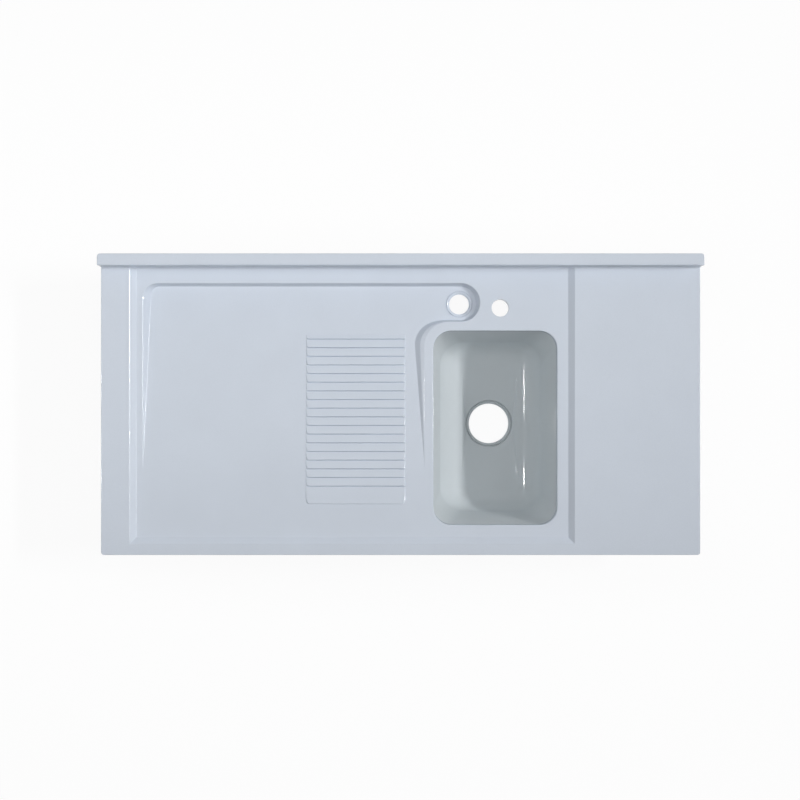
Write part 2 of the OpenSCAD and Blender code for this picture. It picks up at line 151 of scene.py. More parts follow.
# Washboard: a rib's front falls over its run into a fine groove that goes below the bed, and the bay rises
# from the valley in front of the groove to the next crest. The first bay is at the back
BOARD_X1 = LAND_X - 38.5
BOARD_X0 = BOARD_X1 - 200
BOARD_Y1 = BOWL_Y1 - 15.5
BOARD_MARGIN = 1.5
RIBS = 18
RIB_PITCH = 17.4
RIB_H = 2.6
RIB_RUN = 0.9
RIB_ROUND = 0.3
RIB_VALLEY = 0.7
RIB_GROOVE_W = 1.2
RIB_GROOVE_D = 2.2
# Length of the ribs' rounded ends over their height
RIB_END_LEAN = 2.2
FIRST_BAY = 9
FRONT_BAY = 36
BAY_CORNER_R = 5
FRONT_BAY_CORNER_R = 8

# Bowl: its floor falls from the fillet at its sides to the waste
BOWL_WALL = 10
BOWL_DRAFT = 16
BOWL_FILLET = 50
FLOOR_Z = RIM_Z - 200
SEAT_Z = RIM_Z - 208

# Waste, from the floor inwards: a sunk seat with a groove round its edge, a ledge and the hole
WASTE_DX = -1
WASTE_DY = 5.5
SEAT_R = 50.3
SEAT_D = 3
SEAT_GROOVE_W = 3
SEAT_GROOVE_D = 4
SEAT_DRAFT = 0.3
LEDGE_R = 45.2
LEDGE_D = 7
WASTE_R = 42.5

# Bowl fixings
CLIP_SPAN = 220
CLIPS_PER_SIDE = 3
STUD_DX = 10
STUD_R = 3
FIT_GAP = 0.3
INSERT_R = 5
INSERT_L = 9
THREAD_PITCH = 1
THREAD_D = 0.55

# Easing of the edges under the deck, which no one sees
UNDER_EDGE = 0.5
# Width of the flat strip beside a rounding, which keeps the rounding's shading off the flat faces
GUARD = 0.4
# Points closer than this are one point
WELD = 0.002
# Edges sharper than this stay crisp, in degrees
CRISP = 38

# Stage, in metres: the camera looks straight down from nearly 3 m
CAMERA_PLACE = (-0.0013, 0.0104, 2.910)
LENS = 64.3
FLOOR_HALF = 6.0
# Distance of the lamps that stand far off
FAR = 16
# Share of the white world that lights the object
SKY_LIGHT = 0.19
# Share of the floor's shade, and of the shadow on it, that is seen
SHADOW_SHARE = 0.09


def linear(hex_colour):
    """Linear RGBA of an sRGB hex colour."""
    shares = [int(hex_colour[i : i + 2], 16) / 255 for i in (1, 3, 5)]
    return tuple(s / 12.92 if s <= 0.04045 else ((s + 0.055) / 1.055) ** 2.4 for s in shares) + (1.0,)


def slope_z(y):
    """Height of the drainboard's plane at a depth y: it falls evenly from the tray towards the back."""
    return TRAY_Z - FALL * (y - DRAIN_Y0)


def bed_z(y):
    """Height of the surface that the washboard stands on: the slope, or the level tray in front of it."""
    return np.minimum(TRAY_Z, slope_z(y))


def ease(t):
    """0 to 1 with level ends: 3 t^2 - 2 t^3."""
    return t * t * (3 - 2 * t)


def chain(corners, cuts, steps=6):
    """Rows of a chain of straight stretches whose inner corners are rounded off.

    A corner C is left at its cut before it, A, and joined at its cut after it, B, by the parabola
    (1 - t)^2 A + 2 t (1 - t) C + t^2 B. A cut takes at most 45 percent of the stretch on either side.
    """
    corners = np.asarray(corners, float)
    t = np.linspace(0, 1, steps + 1).reshape((-1,) + (1,) * (corners.ndim - 1))
    rows = [corners[:1]]
    for before, corner, after, cut in zip(corners[:-2], corners[1:-1], corners[2:], cuts):
        ends = []
        for other in (before, after):
            length = np.linalg.norm(other - corner, axis=-1)
            share = np.minimum(cut / np.maximum(length, 1e-9), 0.45)
            ends.append(corner + (other - corner) * share[..., None])
        rows.append((1 - t) ** 2 * ends[0] + 2 * t * (1 - t) * corner + t**2 * ends[1])
    rows.append(corners[-1:])
    return np.concatenate(rows)


def carry(points, outward, profile):
    """Rows of a profile carried along a path.

    Every row is the path moved along its outward directions by the profile's run, at the profile's
    height. The profile is one list of run and height, or one for every point of the path.
    """
    if profile.ndim == 2:
        profile = np.repeat(profile[:, None, :], len(points), axis=1)
    plan = points + outward * profile[..., :1]
    return np.concatenate((plan, profile[..., 1:]), axis=-1)


def arc(centre, radius, start, end, steps):
    """Points of an arc, centre + radius (cos a, sin a), and its directions (cos a, sin a), a in degrees."""
    a = np.radians(np.linspace(start, end, steps + 1))
    directions = np.column_stack((np.cos(a), np.sin(a)))
    return np.asarray(centre) + radius * directions, directions


def circle(centre, radius, steps):
    """An arc all the way round, without its last point, which is the first."""
    points, directions = arc(centre, radius, 0, 360, steps)
    return points[:-1], directions[:-1]


def rounded_loop(low, high, radii, steps=8, stops=()):
    """Points anticlockwise round a rectangle with rounded corners, and their outward directions.

    Each corner is a quarter circle, or a mitred point where its radius is nothing; the radii are those of the
    front left, front right, back right and back left. The stops are depths at which both sides have a point.
    """
    signs = ((-1, -1, 180), (1, -1, 270), (1, 1, 0), (-1, 1, 90))
    points, outward = [], []
    for (sx, sy, start), r in zip(signs, radii):
        corner = (high[0] if sx > 0 else low[0], high[1] if sy > 0 else low[1])
        if r > 0:
            p, n = arc((corner[0] - sx * r, corner[1] - sy * r), r, start, start + 90, steps)
        else:
            p, n = np.array([corner]), np.array([[sx, sy]])
        points.append(p)
        outward.append(n)
        if (sx, sy) == (1, -1):
            points.append(np.array([[high[0], y] for y in stops]).reshape(-1, 2))
            outward.append(np.tile([1.0, 0.0], (len(stops), 1)))
    points.append(np.array([[low[0], y] for y in reversed(stops)]).reshape(-1, 2))
    outward.append(np.tile([-1.0, 0.0], (len(stops), 1)))
    return np.concatenate(points), np.concatenate(outward)


def inside(loop, places):
    """Whether each place lies in a loop: a ray to the right crosses the loop an odd number of times."""
    ax, ay = loop[:, 0], loop[:, 1]
    bx, by = np.roll(ax, -1), np.roll(ay, -1)
    x, y = places[:, :1], places[:, 1:2]
    spans = (ay > y) != (by > y)
    rise = np.where(by == ay, 1e-12, by - ay)
    return (spans & (x < ax + (y - ay) * (bx - ax) / rise)).sum(axis=1) % 2 == 1


class Shell:
    """Collects grids and flat fills, in millimetres, and welds them into one closed mesh."""

    def __init__(self):
        self.points = []
        self.triangles = []
        self.count = 0

    def add(self, points, triangles):
        """Adds points and the triangles between them."""
        self.points.append(points)
        self.triangles.append(np.asarray(triangles).reshape(-1, 3) + self.count)
        self.count += len(points)

    def grid(self, rows, around=False, closed=False):
        """Two triangles in each cell of a grid.

        Around joins its last column to its first, and closed joins its last row to its first.
        """
        rows = np.asarray(rows)
        index = np.arange(rows.shape[0] * rows.shape[1]).reshape(rows.shape[:2])
        if around:
            index = np.column_stack((index, index[:, :1]))
        if closed:
            index = np.vstack((index, index[:1]))
        a, b, c, d = index[:-1, :-1], index[:-1, 1:], index[1:, 1:], index[1:, :-1]
        halves = [np.stack(half, -1).reshape(-1, 3) for half in ((a, b, c), (a, c, d))]
        self.add(rows.reshape(-1, 3), np.concatenate(halves))

    def fill(self, outer, holes=(), lines=(), axes=(0, 1)):
        """Triangles between an outer loop and its holes, seen along the axis that is left out.

        It is the Delaunay triangulation that keeps every loop and line as an edge. Triangles whose
        middle lies in a hole or outside the outer loop are dropped, and every point keeps its place.
        """
        loops = [np.asarray(outer)] + [np.asarray(h) for h in holes]
        parts = loops + [np.asarray(line) for line in lines]
        points = np.concatenate(parts)
        edges, start = [], 0
        for part in parts:
            n = np.arange(start, start + len(part))
            ends = np.roll(n, -1)
            pairs = np.column_stack((n, ends))
            edges.append(pairs if len(edges) < len(loops) else pairs[:-1])
            start += len(part)
        flat = points[:, list(axes)]
        found = delaunay_2d_cdt([Vector(p) for p in flat], np.concatenate(edges).tolist(), [], 0, 1e-4)
        if not all(found[3]):
            raise RuntimeError("two edges of a flat fill cross")
        source = np.array([origins[0] for origins in found[3]])
        triangles = source[np.array(found[2])]
        middle = flat[triangles].mean(axis=1)
        keep = inside(loops[0][:, list(axes)], middle)
        for hole in loops[1:]:
            keep &= ~inside(hole[:, list(axes)], middle)
        self.add(points, triangles[keep])

    def piece(self, name, material, replaced):
        """One object of everything collected, with its double points joined and its faces turned outwards."""
        points = np.concatenate(self.points)
        triangles = np.concatenate(self.triangles)
        keys = np.round(points / WELD).astype(np.int64)
        _, first, place = np.unique(keys, axis=0, return_index=True, return_inverse=True)
        triangles = place.reshape(-1)[triangles]
        whole = (triangles != np.roll(triangles, 1, axis=1)).all(axis=1)
        mesh = bpy.data.meshes.new(name)
        mesh.from_pydata((points[first] * MM).tolist(), [], triangles[whole].tolist())
        work = bmesh.new()
        work.from_mesh(mesh)
        bmesh.ops.recalc_face_normals(work, faces=work.faces)
        work.to_mesh(mesh)
        work.free()
        return dress(placed(name, mesh), material, replaced)


def placed(name, data):
    """A new object in the scene."""
    item = bpy.data.objects.new(name, data)
    bpy.context.scene.collection.objects.link(item)
    return item


def dress(item, material, replaced):
    """Puts a new piece on the frame in the place of CAD nodes, shaded smooth up to its crisp edges."""
    item.data.polygons.foreach_set("use_smooth", np.ones(len(item.data.polygons), bool))
    item.data.set_sharp_from_angle(angle=math.radians(CRISP))
    item.data.materials.append(material)
    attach(item, "root")
    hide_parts(*replaced)
    return item


def wall_path():
    """The drainboard's edge on the tray, from its front left end round to its front right end.

    Straight stretches and arcs in turn: the left side, the back left corner, the round end past the
    outlet, the corner of the land, and the side beside the bowl. Points crowd towards both front ends,
    as the square of an even step. Returns places, inward directions and the two leans at every point.
    """
    side_n, corner_n, lobe_n, land_n = 28, 14, 32, 20
    steps = np.linspace(0, 1, side_n + 1)[:, None] ** 2
    front_left = np.array([DRAIN_X0, DRAIN_Y0])
    left_end = np.array([DRAIN_X0, DRAIN_Y1 - DRAIN_CORNER_R])
    front_right = np.array([LAND_X, DRAIN_Y0])
    right_end = np.array([LAND_X, LAND_Y - LAND_R])
    corner_centre = (DRAIN_X0 + DRAIN_CORNER_R, DRAIN_Y1 - DRAIN_CORNER_R)
    corner, corner_out = arc(corner_centre, DRAIN_CORNER_R, 180, 90, corner_n)
    lobe, lobe_out = arc((LOBE_X, LOBE_Y), LOBE_R, 90, -90, lobe_n)
    land, land_out = arc((LAND_X + LAND_R, LAND_Y - LAND_R), LAND_R, 90, 180, land_n)
    left = front_left + (left_end - front_left) * steps
    right = front_right + (right_end - front_right) * steps[::-1]

    def eased(start, end, n):
        return np.array(start) + (np.array(end) - np.array(start)) * ease(np.linspace(0, 1, n + 1))[:, None]

    places = np.concatenate((left[:-1], corner, lobe, land, right[1:]))
    inward = np.concatenate((np.tile([1.0, 0.0], (side_n, 1)), -corner_out, -lobe_out, land_out,
                             np.tile([-1.0, 0.0], (side_n, 1))))
    leans = np.concatenate((np.tile(LEFT_LEANS, (side_n, 1)), eased(LEFT_LEANS, BACK_LEANS, corner_n),
                            eased(BACK_LEANS, LOBE_LEANS, lobe_n // 2)[:-1],
                            eased(LOBE_LEANS, BACK_LEANS, lobe_n // 2),
                            eased(BACK_LEANS, BOWL_SIDE_LEANS, land_n),
                            np.tile(BOWL_SIDE_LEANS, (side_n, 1))))
    return places, inward, leans


def drain_wall(rounds):
    """Rows of the drainboard's wall, from the tray over its brow and shoulder to the slope.

    The shoulder lies at a share of the local depth. Below it the wall leans on down to the slope, whose
    depth d at the foot solves d = fall (y + inward_y run - y0), with run = shoulder run + lean
    (d - shoulder depth). Towards both front ends the depth runs out, and every row with it.
    """
    places, inward, leans = wall_path()
    y, to_y = places[:, 1], inward[:, 1]
    lean, shoulder_lean = leans[:, 0], leans[:, 1]
    shoulder_d = SHOULDER_SHARE * FALL * np.maximum(y - DRAIN_Y0 - SHOULDER_START, 0)
    shoulder_run = shoulder_lean * shoulder_d
    depth = FALL * (y - DRAIN_Y0 + to_y * (shoulder_run - lean * shoulder_d)) / (1 - FALL * to_y * lean)
    foot_run = shoulder_run + lean * (depth - shoulder_d)
    # Where the wall is under 2 mm deep, its roundings shrink with it
    fade = np.clip(depth / 2, 0, 1)
    brow, shoulder, foot = rounds.drain_brow / MM, rounds.drain_shoulder / MM, rounds.drain_foot / MM
    top_run = -(brow + GUARD) * fade
    end_run = foot_run + (foot + GUARD) * fade
    level = np.full_like(y, TRAY_Z)
    runs = np.stack((top_run, 0 * y, shoulder_run, foot_run, end_run))
    heights = np.stack((level, level, TRAY_Z - shoulder_d, TRAY_Z - depth, slope_z(y + to_y * end_run)))
    rows = chain(np.stack((runs, heights), -1), (brow * fade, shoulder * fade, foot * fade), 7)
    return carry(places, inward, rows)


def washboard_grid():
    """Grid of the washboard, from just outside its foot on all sides.

    Its height over the bed is the lowest of three: a saw-tooth profile along the depth, two ends that
    rise from the board's sides as quarter ellipses, and a quarter circle at each bay's outer front
    corners. The lower of two heights a and b is taken softly, as (a + b - sqrt((a - b)^2 + e^2)) / 2.
    The groove in front of every rib is added last, and fades out before it reaches the sides.
    """
    start_y = BOARD_Y1 + FIRST_BAY
    crests = BOARD_Y1 - RIB_PITCH * np.arange(RIBS)
    foot_y = crests[-1] - FRONT_BAY
    corners = [(start_y + BOARD_MARGIN, 0), (start_y, 0)]
    for y in crests:
        corners += [(y, RIB_H), (y - RIB_RUN, -RIB_GROOVE_D), (y - RIB_RUN - RIB_GROOVE_W, RIB_VALLEY)]
    corners += [(foot_y, RIB_H), (foot_y - RIB_RUN, 0), (foot_y - RIB_RUN - BOARD_MARGIN, 0)]
    profile = chain(corners, [RIB_ROUND] * (len(corners) - 2), 4)

    # Depths: the profile's points, and more of them behind each front, where the bays' corners are round
    fronts = np.append(crests, foot_y)
    feet = fronts - RIB_RUN
    fine = np.concatenate([foot + np.linspace(0.5, 8, 9) for foot in feet])
    y = np.unique(np.round(np.concatenate((profile[:, 0], fine, [DRAIN_Y0])), 4))[::-1]
    y = y[y <= start_y + BOARD_MARGIN]
    tooth = np.interp(-y, -profile[:, 0], profile[:, 1])
    bay = np.clip(np.searchsorted(-feet, -y), 0, len(fronts) - 1)
    behind = y - feet[bay]

    # Lengths: points crowd along both sides, and one step crosses the middle
    side = np.concatenate(([-BOARD_MARGIN, 0], np.linspace(0.4, 9.2, 19)))
    across = np.concatenate((BOARD_X0 + side, (BOARD_X1 - side)[::-1]))
    dx = np.concatenate((side, side[::-1]))[:, None]

    # The ends go on rising past the crest, so that they don't lower it
    end_run = RIB_H * RIB_END_LEAN
    ends = RIB_H * np.sqrt(np.clip(1 - (1 - np.maximum(dx, 0) / end_run) ** 2, 0, 1))
    ends = np.where(dx < end_run, ends, RIB_H + (dx - end_run) / RIB_END_LEAN)

    # A bay's corner leans as the front does towards the front, and as the ends do towards the side
    last = bay == len(fronts) - 1
    radius = np.where(last, FRONT_BAY_CORNER_R, BAY_CORNER_R)
    low = np.where(last, 0, RIB_VALLEY)
    a = np.clip(radius - behind, 0, None)
    b = np.clip(radius - dx, 0, None)
    front_share = a**2 / np.maximum(a**2 + b**2, 1e-9)
    reach = radius - np.hypot(a, b)
    to_front = low + reach * (RIB_H - low) / RIB_RUN
    corner = front_share * to_front + (1 - front_share) * reach / RIB_END_LEAN
    corner = np.maximum(corner, np.minimum(low, ends))
    corner = np.where((a > 0) & (b > 0), corner, RIB_H * 2)
    soft = 0.12

    def lower(p, q):
        return (p + q - np.sqrt((p - q) ** 2 + soft**2)) / 2

    height = np.maximum(lower(lower(tooth[None, :], ends), corner), 0)
    height[(dx <= 0).repeat(len(y), axis=1)] = 0
    height[:, (tooth <= 0)] = 0
    groove_start, groove_fade = 1.5, 3
    height += np.minimum(tooth, 0) * np.clip((dx - groove_start) / groove_fade, 0, 1)
    x = np.repeat(across[:, None], len(y), axis=1)
    depth = np.repeat(y[None, :], len(across), axis=0)
    return np.stack((x, depth, bed_z(depth) + height), -1)


def border(rows):
    """The loop of points round the edge of a grid."""
    return np.concatenate((rows[0], rows[1:-1, -1], rows[-1, ::-1], rows[-2:0:-1, 0]))


def clip_places():
    """Middle of every clip at the flange's edge, and the direction away from the bowl."""
    depths = BOWL_Y - CLIP_SPAN / 2 + CLIP_SPAN / (CLIPS_PER_SIDE - 1) * np.arange(CLIPS_PER_SIDE)
    return [(side, (BOWL_LO[0], BOWL_HI[0])[side > 0], y) for side in (-1, 1) for y in depths]


def hole_profile(edge, steps):
    """Side of a hole down through the deck, with its top edge rounded."""
    corners = [(edge + GUARD, TRAY_Z), (0, TRAY_Z), (0, UNDER_Z), (UNDER_EDGE + GUARD, UNDER_Z)]
    return chain(corners, (edge, UNDER_EDGE), steps)


def outlet_rows():
    """Rows of the outlet, round its middle from the slope in to the hole and down through the deck.

    Every station is a radius and a height; the two outermost lie on the slope all the way round.
    """
    plan, out = circle((OUTLET_X, OUTLET_Y), 0, 96)
    ring_z = slope_z(OUTLET_Y + OUTLET_RING_R) - OUTLET_RING_SINK
    groove_z = ring_z - OUTLET_GROOVE_D
    lip_z = ring_z - OUTLET_LIP_D
    ledge_z = lip_z - OUTLET_LEDGE_D
    spread = OUTLET_RING_R + 0.6 + GUARD
    stations = [(spread, None), (OUTLET_RING_R, None), (OUTLET_RING_R, groove_z), (OUTLET_LIP_R, groove_z),
                (OUTLET_LIP_R, ring_z), (OUTLET_LEDGE_R, lip_z), (OUTLET_LEDGE_R, ledge_z),
                (OUTLET_R, ledge_z), (OUTLET_R, UNDER_Z), (OUTLET_R + UNDER_EDGE + GUARD, UNDER_Z)]
    cuts = (0.4, 0.3, 0.3, 0.4, 0.4, 0.3, 0.3, UNDER_EDGE)
    level = np.ones(len(plan))
    heights = [slope_z(OUTLET_Y + out[:, 1] * r) if z is None else z * level for r, z in stations]
    corners = np.stack([np.stack((r * level, z), -1) for (r, _), z in zip(stations, heights)])
    return carry(plan, out, chain(corners, cuts, 4))


def stone_deck(rounds, material):
    """The cast deck as one closed shell: swept roundings along every edge, and flat fills between them."""
    shell = Shell()
    edge, brow, foot = rounds.outer_edge / MM, rounds.bevel_brow / MM, rounds.bevel_foot / MM

    # Outer side. Under the upstand its top edge is square, and the rounding fades out in front of it
    fade = 2
    plan, out = rounded_loop(DECK_LO, DECK_HI, [OUTER_CORNER_R] * 4, 10, (UPSTAND_Y - fade, UPSTAND_Y))
    shares = np.clip((UPSTAND_Y - plan[:, 1]) / fade, 0.02, 1)
    side = np.array([(0, UNDER_Z), (0, RIM_Z), (-(edge + GUARD), RIM_Z)])
    side = np.repeat(side[:, None, :], len(plan), axis=1)
    outer = carry(plan, out, chain(side, [edge * shares], 7))
    shell.grid(outer, around=True)

    # Bevels of the tray, mitred at both front corners
    plan = np.array([[TRAY_X0, UPSTAND_Y], [TRAY_X0, TRAY_Y0], [TRAY_X1, TRAY_Y0], [TRAY_X1, UPSTAND_Y]])
    inward = np.array([[1, 0], [1, 1], [-1, 1], [-1, 0]])
    across = [(-brow - GUARD, RIM_Z), (0, RIM_Z), (BEVEL_W, TRAY_Z), (BEVEL_W + foot + GUARD, TRAY_Z)]
    bevel = carry(plan, inward, chain(across, (brow, foot), 6))
    shell.grid(bevel)
    shell.fill(outer[-1], [bevel[0]])
    shell.fill(np.concatenate((bevel[:, 0], bevel[::-1, -1])), axes=(0, 2))

    # Drainboard's wall, washboard, and the holes
    wall = drain_wall(rounds)
    shell.grid(wall)
    board = washboard_grid()
    shell.grid(board)
    plan, out = rounded_loop((BOWL_X0, BOWL_Y0), (BOWL_X1, BOWL_Y1), [BOWL_R] * 4, 14)
    mouth = carry(plan, out, hole_profile(rounds.mouth_edge / MM, 7))
    plan, out = circle((TAP_X, TAP_Y), TAP_R, 72)
    tap = carry(plan, out, hole_profile(rounds.hole_edge / MM, 5))
    outlet = outlet_rows()
    for rows in (mouth, tap, outlet):
        shell.grid(rows, around=True)

    # Tray and slope: one fill, folded along the line where they meet
    band = np.concatenate((wall[0], wall[-1, ::-1]))
    crease = [np.array([[DRAIN_X0, DRAIN_Y0, TRAY_Z], [board[0, 0, 0], DRAIN_Y0, TRAY_Z]]),
              np.array([[board[-1, 0, 0], DRAIN_Y0, TRAY_Z], [LAND_X, DRAIN_Y0, TRAY_Z]])]
    shell.fill(bevel[-1], [band, mouth[0], tap[0], outlet[0], border(board)], crease)

    # Underside, with the holes of the threaded inserts
    sockets = []
    for side, x, y in clip_places():
        plan, out = circle((x + side * STUD_DX, y), INSERT_R + FIT_GAP, 32)
        socket = carry(plan, out, np.array([(0, UNDER_Z), (0, UNDER_Z + INSERT_L + FIT_GAP)]))
        shell.grid(socket, around=True)
        shell.fill(socket[1])
        sockets.append(socket[0])
    shell.fill(outer[0], [mouth[-1], tap[-1], outlet[-1]] + sockets)
    return shell.piece("stone_deck", material, ["deck"])


def stone_upstand(rounds, material):
    """The upstand: its side carried round its plan, rounded over into the flat top."""
    shell = Shell()
    edge = rounds.upstand_edge / MM
    plan, out = rounded_loop(UPSTAND_LO, UPSTAND_HI, [0, 0, OUTER_CORNER_R, OUTER_CORNER_R], 8)
    low, high = UPSTAND_LO[2], UPSTAND_HI[2]
    rows = carry(plan, out, chain([(0, low), (0, high), (-edge - GUARD, high)], (edge,), 8))
    shell.grid(rows, around=True)
    shell.fill(rows[0])
    shell.fill(rows[-1])
    return shell.piece("stone_upstand", material, ["back_upstand"])


def stone_cove(rounds, material):
    """The cove at the upstand's foot: a hollow quarter circle carried along rim, bevels and tray."""
    shell = Shell()
    brow, foot = rounds.bevel_brow / MM, rounds.bevel_foot / MM
    corners = [(COVE_LO[0], RIM_Z), (TRAY_X0, RIM_Z), (TRAY_X0 + BEVEL_W, TRAY_Z),
               (TRAY_X1 - BEVEL_W, TRAY_Z), (TRAY_X1, RIM_Z), (COVE_HI[0], RIM_Z)]
    path = chain(corners, (brow, foot, foot, brow), 6)
    # The feather edges of the quarter circle are cut off 4 degrees before its ends
    a = np.radians(np.linspace(4, 86, 13))
    away, up = COVE_R * (1 - np.cos(a)), COVE_R * (1 - np.sin(a))
    away = np.concatenate((away, [away[-1], 0, 0]))
    up = np.concatenate((up, [0, 0, up[0]]))
    rows = np.stack([np.column_stack((np.full(len(up), x), UPSTAND_Y - away, z + up)) for x, z in path])
    shell.grid(rows, around=True)
    shell.fill(rows[0], axes=(1, 2))
    shell.fill(rows[-1], axes=(1, 2))
    return shell.piece("stone_cove", material, ["cove_strip"])


def ring_rows(rings, steps=14):
    """Rows of level rings round the bowl's middle, from rows of six values: cx, cy, r, z, dx and dy.

    Each is a rectangle of half sizes cx and cy grown by a radius r, at a height z, moved by dx and dy.
    With cx and cy at nothing it is a circle, so square and round rings have the same number of points.
    """
    _, out = rounded_loop((-1, -1), (1, 1), [1] * 4, steps)
    signs = np.repeat([[-1, -1], [1, -1], [1, 1], [-1, 1]], steps + 1, axis=0)
    plan = signs * rings[:, None, :2] + out * rings[:, None, 2:3] + rings[:, None, 4:]
    z = np.repeat(rings[:, None, 3:4], len(out), axis=1)
    return np.concatenate((plan + [BOWL_X, BOWL_Y], z), axis=-1)


def fillet_rings(top, core, radius, centre_z, steps):
    """Rings of a drafted side and the round fillet under it, from the top ring down to the floor.

    The side is the tangent from the top edge to a circle of the fillet's radius about the core. Below the
    point where it touches, the rings follow that circle down: r = radius cos a, z = centre - radius sin a.
    """
    run = top[0] + top[2] - core[0]
    rise = top[3] - centre_z
    touch = math.atan2(rise, run) - math.acos(radius / math.hypot(run, rise))
    a = np.linspace(-touch, math.pi / 2, steps)
    round_part = np.column_stack((np.full(steps, core[0]), np.full(steps, core[1]),
                                  radius * np.cos(a), centre_z - radius * np.sin(a), 0 * a, 0 * a))
    return np.vstack((top, round_part))


def stone_bowl(material):
    """The cast bowl as one closed shell of rings, from the waste hole up its inside and down its outside."""
    shell = Shell()
    top, lowest = BOWL_HI[2], BOWL_LO[2]
    half_l, half_w = (BOWL_X1 - BOWL_X0) / 2, (BOWL_Y1 - BOWL_Y0) / 2
    core = (half_l - BOWL_DRAFT - BOWL_FILLET, half_w - BOWL_DRAFT - BOWL_FILLET)
    mouth = (half_l - BOWL_R, half_w - BOWL_R)
    centre_z = FLOOR_Z + BOWL_FILLET
    outer_r, outer_fillet = BOWL_R + BOWL_WALL, BOWL_FILLET + BOWL_WALL
    inner = fillet_rings((*mouth, BOWL_R, top, 0, 0), core, BOWL_FILLET, centre_z, 15)
    outer = fillet_rings((*mouth, outer_r, top, 0, 0), core, outer_fillet, centre_z, 15)
    floor_r = BOWL_FILLET / 2
    boss_r = core[0] - 2

    def waste(radius, height):
        return 0, 0, radius, height, WASTE_DX, WASTE_DY

    # From the fillet over the floor into the seat, through the hole, and out under the boss
    seat_z = SEAT_Z - SEAT_D
    groove_z, groove_r = seat_z - SEAT_GROOVE_D, SEAT_R - SEAT_GROOVE_W
    ledge_z = seat_z - LEDGE_D
    dish = [inner[-2], (core[0] - floor_r, core[1] - floor_r, floor_r, FLOOR_Z, 0, 0), waste(SEAT_R, SEAT_Z),
            waste(SEAT_R - SEAT_DRAFT, groove_z), waste(groove_r + SEAT_DRAFT, groove_z),
            waste(groove_r, seat_z), waste(LEDGE_R, seat_z), waste(LEDGE_R - SEAT_DRAFT, ledge_z),
            waste(WASTE_R, ledge_z), waste(WASTE_R, lowest),
            waste(boss_r, lowest), waste(boss_r, outer[-1, 3]), outer[-2]]
    dish = chain(dish, (14, 0.6, 0.8, 0.8, 0.4, 0.4, 0.6, 1, 1, 1.5, 2), 6)

    # From the outside under the flange, round its edge and over its top to the inside
    share = (top - FLANGE_T - outer[1, 3]) / (outer[0, 3] - outer[1, 3])
    under = outer[1] + (outer[0] - outer[1]) * share
    flange = [outer[1], under, (*mouth, BOWL_R + FLANGE_W, top - FLANGE_T, 0, 0),
              (*mouth, BOWL_R + FLANGE_W, top, 0, 0), inner[0], inner[1]]
    flange = chain(flange, (4, 1, 1, 1), 5)
    rings = np.vstack((dish, outer[-3:1:-1], flange, inner[2:-2]))
    shell.grid(ring_rows(rings), around=True, closed=True)
    return shell.piece("stone_bowl", material, ["bowl"])


def about_studs(turn, radius, z):
    """Rows of a shape whose radius depends on turn and height, once about the axis of every stud."""
    height = np.repeat(z[:, None], len(turn), axis=1)
    for side, x, y in clip_places():
        yield np.stack((x + side * STUD_DX + radius * np.cos(turn), y + radius * np.sin(turn), height), -1)


def threaded_studs(material):
    """Six studs: a surface of angle and height whose radius follows a 60 degree thread.

    It falls from the crest by the thread's depth times a triangle wave of height over pitch less the
    turn, and it tapers at both ends.
    """
    shell = Shell()
    low, high = STUD_LO[2], STUD_HI[2]
    turn = np.linspace(0, 2 * math.pi, 24, endpoint=False)
    z = np.linspace(low, high, int((high - low) / THREAD_PITCH * 8) + 1)
    wave = np.abs(2 * ((z[:, None] / THREAD_PITCH - turn / (2 * math.pi)) % 1) - 1)
    taper = np.minimum(z - low, high - z)[:, None]
    radius = np.minimum(STUD_R - THREAD_D * wave, STUD_R - THREAD_D + taper)
    for rows in about_studs(turn, radius, z):
        shell.grid(rows, around=True)
        shell.fill(rows[0])
        shell.fill(rows[-1])
    return shell.piece("threaded_studs", material, ["clip_studs"])


def hex_nuts(material):
    """Six nuts: hexagons whose corners are turned off by a cone at both ends, round a plain bore.

    At an angle a the hexagon's radius is its flat radius over cos(a - the nearest flat's angle), and the
    cone caps it.
    """
    shell = Shell()
    low, tall = NUT_LO[2], NUT_HI[2] - NUT_LO[2]
    corner = (NUT_HI[0] - NUT_LO[0]) / 2 - (BOWL_HI[0] - BOWL_LO[0]) / 2 - STUD_DX
    flat = corner * math.cos(math.pi / 6)
    turn = np.linspace(0, 2 * math.pi, 72, endpoint=False)
    hexagon = flat / np.cos((turn % (math.pi / 3)) - math.pi / 6)
    end = np.array([0, 0, 0.12, 0.25, 0.4, 0.6])
    z = np.concatenate((end, tall - end[::-1]))
    # The cone starts 0.15 mm inside the flats and runs out 1.8 mm for each millimetre of height
    cone = flat - 0.15 + np.minimum(z, tall - z) * 1.8
    radius = np.minimum(hexagon, cone[:, None])
    radius[[0, -1]] = STUD_R + FIT_GAP / 3
    for rows in about_studs(turn, radius, low + z):
        shell.grid(rows, around=True, closed=True)
    return shell.piece("hex_nuts", material, ["clip_nuts"])


def add(tree, kind, inputs=None, **settings):
    """Adds a node, sets its properties, and sets or links its inputs."""
    item = tree.nodes.new(kind)
    for name, value in settings.items():
        setattr(item, name, value)
    for name, value in (inputs or {}).items():
        if isinstance(value, bpy.types.NodeSocket):
            tree.links.new(value, item.inputs[name])
        else:
            item.inputs[name].default_value = value
    return item


def blank(name):
    """A material with an empty node tree, its tree and its output."""
    material = bpy.data.materials.new(name)
    material.use_nodes = True
    tree = material.node_tree
    tree.nodes.clear()
    return material, tree, add(tree, "ShaderNodeOutputMaterial")


